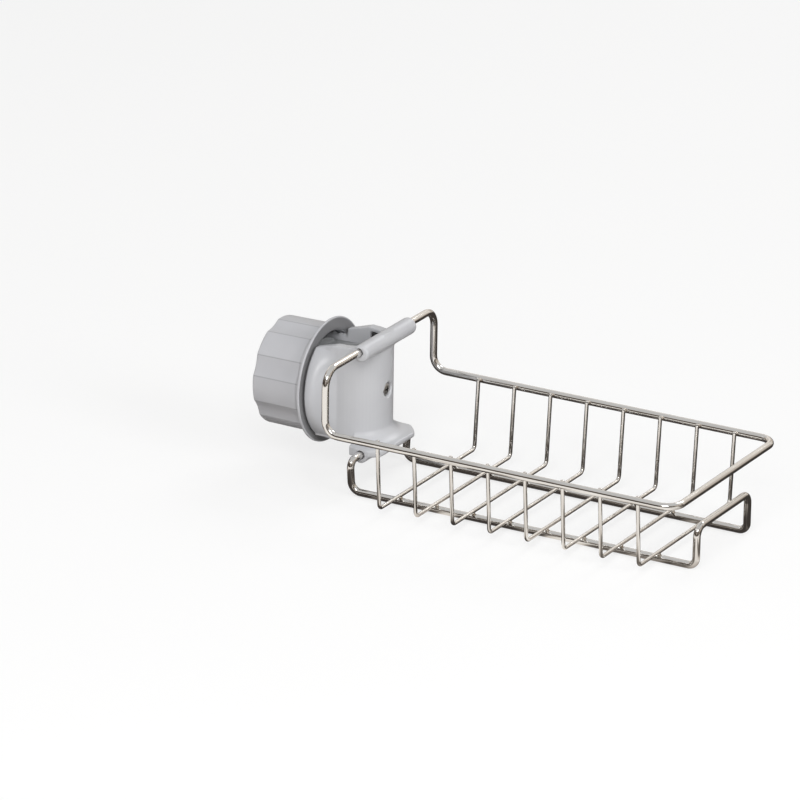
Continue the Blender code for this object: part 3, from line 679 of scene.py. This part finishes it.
knobShape = {
    "front": 0.0154, "back": 0.0470, "rim": 0.0342, "rimThickness": 0.0014, "rimRound": 0.0005,
    "grip": 0.0296, "gripBack": 0.0293, "flareBack": 0.0206, "backRound": 0.0010, "bore": 0.0266,
    "floor": 0.0028, "boss": 0.0070, "bossFront": 0.0238, "ridge": 0.00022,
    "flutes": 7, "fluteWidth": 0.44, "firstFlute": math.radians(4.4), "fluteDepth": 0.0013,
    "fluteEdge": 0.0002, "fluteInner": 0.0255, "fluteFade": 0.0028, "grooveWidth": 0.00016,
    "grooveDepth": 0.00011, "dishRadius": 0.0235, "dishDepth": 0.00070, "dishInner": 0.004,
    "dishLipDepth": 0.00008, "dishLip": 0.0006, "dishEdge": 0.0010, "gateRadius": 0.0016,
    "gateDepth": 0.00015, "gateEdge": 0.0003,
    "frontRing": 0.0325, "mouth": 0.0006, "mouthEdge": 0.0001, "mouthDepth": 0.0005, "mouthEnd": 0.0010,
    "floorCorner": 0.0004, "floorEdge": 0.0005, "floorRing": 0.018, "bossRoot": 0.0008,
    "bossRootRise": 0.0006, "bossCorner": 0.0004, "bossEdge": 0.0005, "edgeZone": 0.019, "steps": 12,
    "dishRings": 7, "backRings": 6, "backRoundSteps": 8, "gripRows": 34, "flareSteps": 16, "rimSteps": 6,
    "frontRings": 5, "boreRows": 70, "flareFade": 1.2, "flareFadeEnd": 0.25,
}


def quarterRound(steps):
    return np.radians(np.linspace(0.0, 90.0, steps))


def knobBackRows():
    # the middle of the back, with a gate mark in a shallow dish, out to the rounded edge of the grip
    k = knobShape
    back, edge = -k["back"], k["gripBack"] - k["backRound"]
    dish = back + k["dishDepth"]
    rows = [(dish - k["gateDepth"], 0.0, 0.0), (dish - k["gateDepth"], k["gateRadius"], 0.0)]
    rows += [(dish, k["gateRadius"] + k["gateEdge"], 0.0)]
    rows += [(dish, r, 0.0) for r in np.linspace(k["dishInner"], k["dishRadius"], k["dishRings"])]
    rows += [(back + k["dishLipDepth"], k["dishRadius"] + k["dishLip"], 0.0)]
    rows += [(back, k["dishRadius"] + k["dishEdge"], 0.0)]
    rows += [(back, r, max(0.0, (r - k["fluteInner"]) / k["fluteFade"]))
             for r in np.linspace(k["fluteInner"], edge, k["backRings"])]
    rows += [(back + k["backRound"] * (1 - math.cos(t)), edge + k["backRound"] * math.sin(t), 1.0)
             for t in quarterRound(k["backRoundSteps"])[1:-1]]
    return rows


def knobGripRows():
    # along the grip, up the flare and round the rim's edge
    k = knobShape
    straight = np.linspace(k["backRound"] - k["back"], -k["flareBack"], k["gripRows"])
    slope = (k["grip"] - k["gripBack"]) / (straight[-1] - straight[0])
    rows = [(x, k["gripBack"] + slope * (x - straight[0]), 1.0) for x in straight]
    rimBack = -k["front"] - k["rimThickness"]
    rimInside = k["rim"] - k["rimRound"]
    reachX, reachR = rimBack + k["flareBack"], rimInside - k["grip"]
    for t in quarterRound(k["flareSteps"])[-2:0:-1]:
        share = float(np.clip(k["flareFade"] * math.sin(t) ** 2 - k["flareFadeEnd"], 0, 1))
        rows += [(-k["flareBack"] + reachX * math.cos(t), k["grip"] + reachR * (1 - math.sin(t)), share)]
    rows += [(rimBack + k["rimRound"] * (1 - math.cos(t)), rimInside + k["rimRound"] * math.sin(t), 0.0)
             for t in quarterRound(k["rimSteps"])]
    rows += [(-k["front"] - k["rimRound"] * (1 - math.sin(t)), rimInside + k["rimRound"] * math.cos(t), 0.0)
             for t in quarterRound(k["rimSteps"])]
    return rows


def knobInsideRows():
    # from the rim's front through the mouth of the bore to its floor, and up the boss to its middle
    k = knobShape
    front, floor = -k["front"], k["floor"] - k["back"]
    across = np.linspace(k["frontRing"], k["bore"] + k["mouth"], k["frontRings"])
    along = np.linspace(front - k["mouthEnd"], floor + k["floorCorner"], k["boreRows"])
    rows = [(front, r, 0.0) for r in across]
    rows += [(front - k["mouthDepth"], k["bore"] + k["mouthEdge"], 0.0)]
    rows += [(x, k["bore"], 0.0) for x in along]
    rows += [(floor, k["bore"] - k["floorEdge"], 0.0), (floor, k["floorRing"], 0.0)]
    rows += [(floor, k["boss"] + k["bossRoot"], 0.0), (floor + k["bossRootRise"], k["boss"], 0.0)]
    rows += [(-k["bossFront"] - k["bossCorner"], k["boss"], 0.0)]
    rows += [(-k["bossFront"], k["boss"] - k["bossEdge"], 0.0), (-k["bossFront"], 0.0, 0.0)]
    return rows


def knobTurns():
    # turns round the knob, closer together beside the edges of the hollows
    k = knobShape
    marks = [0, k["fluteWidth"] / 2 - k["edgeZone"], k["fluteWidth"] / 2 + k["edgeZone"], 0.5]
    half = np.concatenate([np.linspace(a, b, k["steps"], endpoint=False) for a, b in zip(marks, marks[1:])])
    period = np.concatenate([half, [0.5], 1 - half[:0:-1]])
    return (np.arange(k["flutes"])[:, None] + period).ravel()[None] * 2 * math.pi / k["flutes"]


def knobPiece():
    # radius = profile - share * (depth * hollow + groove), hollow = 1 - (place / half width)^2 above 0,
    # groove = groove depth * e^-(distance from the hollow's edge / groove width)^2
    k = knobShape
    rows = np.array(knobBackRows() + knobGripRows() + knobInsideRows())  # x, radius and flute share
    turn = knobTurns()
    place = (turn / (2 * math.pi) * k["flutes"] + 0.5) % 1.0 - 0.5
    level = 1 - (place / (k["fluteWidth"] / 2)) ** 2
    hollow = (level + np.sqrt(level ** 2 + k["fluteEdge"])) / 2
    turn = turn + k["firstFlute"]
    x, radius, share = (rows[:, i:i + 1] for i in range(3))
    ridge = k["ridge"] * threadRidge(turn, x) * np.isclose(radius, k["bore"])
    span = 2 * math.pi * k["grip"] / k["flutes"]
    distance = (np.abs(place) - k["fluteWidth"] / 2) * span
    groove = k["grooveDepth"] * np.exp(-(distance / k["grooveWidth"]) ** 2)
    radius = radius - share * (k["fluteDepth"] * hollow + groove) - ridge
    points = np.stack([x + 0 * turn, radius * np.cos(turn), radius * np.sin(turn)], -1)
    return closePoles(gridObject("knobShell", points, capEnds=False))


knobPlastic = mouldedPlastic("knobPlastic", plasticLook["knob"], plasticLook["knobRoughness"], knobPaintedShade)
knob = knobPiece()
finishPiece(knob, knobPlastic, "knob", ["knob"])
print("knob made")


# Rubber liners

linerShape = {
    "seat": {"outer": 0.0166, "inner": 0.01415, "halfHeight": 0.0250, "halfTurn": 85.0, "middle": 0.0},
    "pad": {"outer": 0.0154, "inner": 0.0142, "halfHeight": 0.0160, "halfTurn": 43.0, "middle": 180.0},
    "ridgePitch": 0.0025, "ridgeDepth": 0.00035, "corner": 0.0004,
    "innerSteps": 200, "outerSteps": 12, "turnSteps": 60,
    "colour": (0.018, 0.018, 0.019), "dustColour": (0.060, 0.058, 0.055), "grainColour": (0.075, 0.073, 0.07),
    "grain": (1800.0, 3.0, 0.6), "grainRange": (0.6, 0.75), "grainShare": 0.3, "cloudy": (70.0, 3.0, 0.5),
    "dustyRange": (0.45, 0.8), "dustShare": 0.5, "roughness": 0.62, "cloudRough": 0.2,
    "bump": (0.35, 0.00008),
}


def rubberStrip(name, sizes):
    # a ridged section in radius and height, carried round part of a circle about the Z axis
    s = linerShape
    corner, height = s["corner"], sizes["halfHeight"]
    rise = np.linspace(-height + corner, height - corner, s["innerSteps"])
    depth = s["ridgeDepth"] * (0.5 - 0.5 * np.cos(2 * math.pi * rise / s["ridgePitch"])) ** 2
    inner = np.stack([sizes["inner"] + depth, rise], 1)
    outerRise = np.linspace(height - corner, -height + corner, s["outerSteps"])
    outer = np.stack([np.full(s["outerSteps"], sizes["outer"]), outerRise], 1)
    top = np.array([[sizes["inner"] + corner, height], [sizes["outer"] - corner, height]])
    bottom = top[::-1] * [1, -1]
    across, up = np.concatenate([inner, top, outer, bottom]).T
    sweep = np.linspace(-sizes["halfTurn"], sizes["halfTurn"], s["turnSteps"])
    turn = np.radians(sizes["middle"] + sweep)[:, None]
    return gridObject(name, np.stack([across * np.cos(turn), across * np.sin(turn), up + 0 * turn], -1))


def blackRubber():
    # dark rubber with patches of dust and a fine grain
    g, s = Graph("blackRubber"), linerShape
    grain = g.noise(*s["grain"])
    cloudy = g.noise(*s["cloudy"])
    dusty = g.mixColour(cloudy.between(*s["dustyRange"]) * s["dustShare"], s["colour"], s["dustColour"])
    g.set(baseColor=g.mixColour(grain.between(*s["grainRange"]) * s["grainShare"], dusty, s["grainColour"]))
    g.set(roughness=s["roughness"] + cloudy * s["cloudRough"])
    g.set(normal=g.bump(grain, *s["bump"]))
    return g.material


rubberMaterial = blackRubber()
seatLiner = rubberStrip("seatLiner", linerShape["seat"])
finishPiece(seatLiner, rubberMaterial, "clamp", ["seat_liner"])
padLiner = rubberStrip("padLiner", linerShape["pad"])
finishPiece(padLiner, rubberMaterial, "pad", ["pad_liner"])
print("rubber made")


# Screw

def screwPiece():
    # a domed head less a soft-edged cross, its rim, its underside and its shank, turned about the X axis
    s = screwShape
    turn = np.linspace(0, 2 * math.pi, s["columns"], endpoint=False)[None]
    radius = np.linspace(0.0, s["head"] - s["domeInset"], s["rows"])[:, None]
    y, z = radius * np.cos(turn), radius * np.sin(turn)
    dome = s["height"] * (1 - s["domeFall"] * (radius / s["head"]) ** 2) + 0 * turn

    def within(place, reach):
        return np.clip((reach - np.abs(place)) / s["armEdge"], 0, 1)

    def arm(across, along):
        return within(across, s["armWidth"]) * within(along, s["armLength"])

    cross = np.maximum(arm(y, z), arm(z, y))
    top = np.stack([s["seatX"] + dome - s["recess"] * cross, y, z], -1)
    seat, edge = s["seatX"], s["head"] - s["sideInset"]
    upper, middle, lower = (seat + rise for rise in s["sideRises"])
    rest = np.array([(upper, edge), (middle, s["head"]), (lower, s["head"]), (seat, edge),
                     (seat, s["shank"]), (s["tip"] + s["point"], s["shank"]), (s["tip"], 0.0)])
    side = np.stack([rest[:, :1] + 0 * turn, rest[:, 1:] * np.cos(turn), rest[:, 1:] * np.sin(turn)], -1)
    points = np.concatenate([top, side]) + np.array([0, 0, s["z"]])
    return closePoles(gridObject("frontScrew", points, capEnds=False))


def turnedSteel():
    # fine turned rings, and painted shade, near black, over the recessed cross
    g, s = Graph("turnedSteel"), screwShape
    centred = g.node("ShaderNodeMapping", None, {"Vector": g.place(), "Location": (0, 0, -s["z"])}).first()
    parts = g.node("ShaderNodeSeparateXYZ", None, [centred])
    rings = (g.offAxis(parts) * s["rings"]).maths("SINE")
    smudge = g.noise(*s["smudge"])
    across, rise = parts.out("Y").maths("ABSOLUTE"), parts.out("Z").maths("ABSOLUTE")
    edges = (s["armWidth"], s["armWidth"] + s["crossShadeWidth"])
    upright = (1 - across.between(*edges)) * (1 - rise.between(*s["crossShadeEnds"]))
    level = (1 - rise.between(*edges)) * (1 - across.between(*s["crossShadeEnds"]))
    crossShaded = (upright + level).clamped()
    steel = g.mixColour(smudge.between(*s["smudgeRange"]), s["paleColour"], s["colour"])
    g.set(baseColor=g.mixColour(crossShaded * s["crossShade"], steel, s["crossShadeColour"]))
    g.set(roughness=s["roughness"] + smudge * s["smudgeRough"], metallic=1.0)
    g.set(normal=g.bump(rings * s["ringShare"] + smudge, *s["bump"]))
    return g.material


finishPiece(screwPiece(), turnedSteel(), "clamp", ["front_screw"])
print("screw made")


# Stage: floor, room band that only gloss sees, lamps, camera

stageSizes = {"floorHalf": 7.0, "bandRadius": 1.3, "bandLow": -0.04, "bandHigh": 0.95}
floorLook = {
    "below": 0.0002, "shade": 0.32, "ahead": (-0.12, 0.993), "middle": (0.10, 0.0),
    "brightUpTo": -0.11, "darkFrom": -0.012, "stripes": (34.0, 9.0), "wander": 0.34,
    "mottle": (6.0, 3.0, 0.5), "patches": (1.0, 2.0, 0.55),
    "paper": ((0.91, 0.91, 0.905), (0.94, 0.94, 0.935)), "forDiffuse": (0.55, 0.53, 0.51),
    "forGloss": [(0.0, (0.98, 0.95, 0.91)), (0.45, (0.66, 0.61, 0.56)), (0.72, (0.20, 0.18, 0.16)),
                 (1.0, (0.055, 0.048, 0.044))],
}
roomLook = {
    "skyForGloss": 0.60, "skyForLight": 0.34, "aim": (0.09, 0.0, -0.01), "columns": 96, "rows": 5,
    "panels": [(0.36, (0.045, 0.036, 0.030)), (0.48, (0.17, 0.14, 0.115)), (0.60, (0.50, 0.44, 0.38)),
               (0.72, (0.86, 0.82, 0.77))],
    "panelNoise": (2.3, 2.0, 0.6), "panelStretch": (1.0, 1.0, 0.6), "backFrom": (-0.6, 0.9),
    "panelShare": 0.9, "backShare": 0.28, "heightShare": 0.16, "dimming": 0.12,
}
lamps = [
    {"name": "keyLamp", "from": (0.80, -1.8, 1.30), "size": 1.2, "power": 33.0},
    {"name": "sideLamp", "from": (-1.9, -0.9, 1.1), "size": 0.9, "power": 7.0},
    {"name": "endLamp", "from": (2.0, -0.5, 0.9), "size": 0.9, "power": 19.0},
    {"name": "rimLamp", "from": (0.3, 1.7, 1.5), "size": 0.8, "power": 10.0},
]


def surfaceOutput(graph, shader):
    output = next(n for n in graph.tree.nodes if n.bl_idname == "ShaderNodeOutputMaterial")
    graph.tree.links.new(shader.socket, output.inputs["Surface"])


def floorPiece(z):
    # paper that the camera sees near white; gloss sees a bright stretch in front and a dark one behind
    look, half = floorLook, stageSizes["floorHalf"]
    corners = [(-half, -half, z), (half, -half, z), (half, half, z), (-half, half, z)]
    mesh = bpy.data.meshes.new("floor")
    mesh.from_pydata(corners, [], [(0, 1, 2, 3)])
    floor = bpy.data.objects.new("floor", mesh)
    bpy.context.scene.collection.objects.link(floor)
    g = Graph("floorPaper")
    mottle = g.noise(*look["mottle"])
    path = g.node("ShaderNodeLightPath")
    paper = g.mixColour(path.out("Is Diffuse Ray"), g.mixColour(mottle, *look["paper"]), look["forDiffuse"])
    g.set(baseColor=paper, roughness=0.9, specular=0.2)
    white = g.node("ShaderNodeEmission", None, {"Color": (1, 1, 1), "Strength": 1.0}).first()
    parts = g.node("ShaderNodeSeparateXYZ", None, [g.place()])
    (aheadX, aheadY), (middleX, middleY) = look["ahead"], look["middle"]
    reach = (parts.out("X") - middleX) * aheadX + (parts.out("Y") - middleY) * aheadY
    side = parts.out("Y") * aheadX * -1.0 + parts.out("X") * aheadY
    scaled = {"X": side * look["stripes"][0], "Y": reach * look["stripes"][1], "Z": 0.0}
    patches = g.noise(*look["patches"], g.node("ShaderNodeCombineXYZ", None, scaled).first())
    behind = (reach + (patches - 0.5) * look["wander"]).between(look["brightUpTo"], look["darkFrom"])
    tone = g.node("ShaderNodeValToRGB", {"stops": look["forGloss"]}, [behind]).first()
    glow = g.node("ShaderNodeEmission", None, {"Color": tone, "Strength": 1.0}).first()
    forCamera = path.out("Is Camera Ray") * (1 - look["shade"])
    seen = g.node("ShaderNodeMixShader", None, [forCamera, Value(g, g.shader.outputs[0]), white]).first()
    surfaceOutput(g, g.node("ShaderNodeMixShader", None, [path.out("Is Glossy Ray"), seen, glow]).first())
    mesh.materials.append(g.material)


def roomBand():
    # a round wall of soft panels, darker in front and beige behind, that stands in for a room in the chrome
    look, radius, bandHigh = roomLook, stageSizes["bandRadius"], stageSizes["bandHigh"]
    turn = np.linspace(0, 2 * math.pi, look["columns"], endpoint=False)[None]
    rise = np.linspace(stageSizes["bandLow"], bandHigh, look["rows"])[:, None]
    x, y = radius * np.cos(turn) + 0 * rise, radius * np.sin(turn) + 0 * rise
    band = gridObject("roomBand", np.stack([x, y, rise + 0 * turn], -1), capEnds=False)
    g = Graph("roomPanels")
    panels = g.noise(*look["panelNoise"], g.stretched(look["panelStretch"]))
    parts = g.node("ShaderNodeSeparateXYZ", None, [g.place()])
    back = parts.out("Y").between(*look["backFrom"]) * look["backShare"]
    height = parts.out("Z").between(0.0, bandHigh) * look["heightShare"]
    level = (panels * look["panelShare"] + back + height - look["dimming"]).clamped()
    colour = g.node("ShaderNodeValToRGB", {"stops": look["panels"]}, [level]).first()
    surfaceOutput(g, g.node("ShaderNodeEmission", None, {"Color": colour, "Strength": 1.0}).first())
    band.data.materials.append(g.material)
    band.visible_camera = False
    band.visible_diffuse = False
    band.visible_shadow = False
    band.visible_transmission = False


def lightRoom():
    # an even sky, stronger for gloss and white for the camera, and the lamps
    scene = bpy.context.scene
    world = bpy.data.worlds.new("room")
    scene.world = world
    world.use_nodes = True
    tree = world.node_tree
    background = tree.nodes["Background"]
    background.inputs["Color"].default_value = (1, 1, 1, 1)
    path = tree.nodes.new("ShaderNodeLightPath")
    strength = background.inputs["Strength"]
    previous = roomLook["skyForLight"]
    for ray, level in (("Is Glossy Ray", roomLook["skyForGloss"]), ("Is Camera Ray", 1.0)):
        mix = tree.nodes.new("ShaderNodeMix")
        mix.inputs[3].default_value = level
        if isinstance(previous, float):
            mix.inputs[2].default_value = previous
        else:
            tree.links.new(previous, mix.inputs[2])
        tree.links.new(path.outputs[ray], mix.inputs[0])
        previous = mix.outputs[0]
    tree.links.new(previous, strength)
    for lamp in lamps:
        light = bpy.data.lights.new(lamp["name"], "AREA")
        light.size = lamp["size"]
        light.energy = lamp["power"]
        holder = bpy.data.objects.new(lamp["name"], light)
        place = np.array(lamp["from"])
        back = unit(place - np.array(roomLook["aim"]))
        right = unit(np.cross([0, 0, 1], back))
        up = np.cross(back, right)
        rows = [[right[i], up[i], back[i], place[i]] for i in range(3)]
        holder.matrix_world = Matrix(rows + [[0, 0, 0, 1]])
        scene.collection.objects.link(holder)
    scene.view_settings.view_transform = "Standard"


cameraView = {
    "place": (1.6743, -2.9436, 1.2558), "right": (0.86996, 0.49292, 0.01433),
    "down": (0.18413, -0.29775, -0.93672), "ahead": (-0.45746, 0.81754, -0.34979), "focalShare": 6766 / 800,
    "sensor": 36.0, "seenFrom": 0.1, "seenTo": 60.0,
}


def makeCamera():
    v = cameraView
    camera = bpy.data.cameras.new("camera")
    camera.sensor_width = v["sensor"]
    camera.lens = v["sensor"] * v["focalShare"]
    camera.clip_start = v["seenFrom"]
    camera.clip_end = v["seenTo"]
    holder = bpy.data.objects.new("camera", camera)
    rows = [[v["right"][i], -v["down"][i], -v["ahead"][i], v["place"][i]] for i in range(3)]
    holder.matrix_world = Matrix(rows + [[0, 0, 0, 1]])
    bpy.context.scene.collection.objects.link(holder)
    bpy.context.scene.camera = holder


floorPiece(cadLow[2] - floorLook["below"])
roomBand()
lightRoom()
makeCamera()
print("stage made")
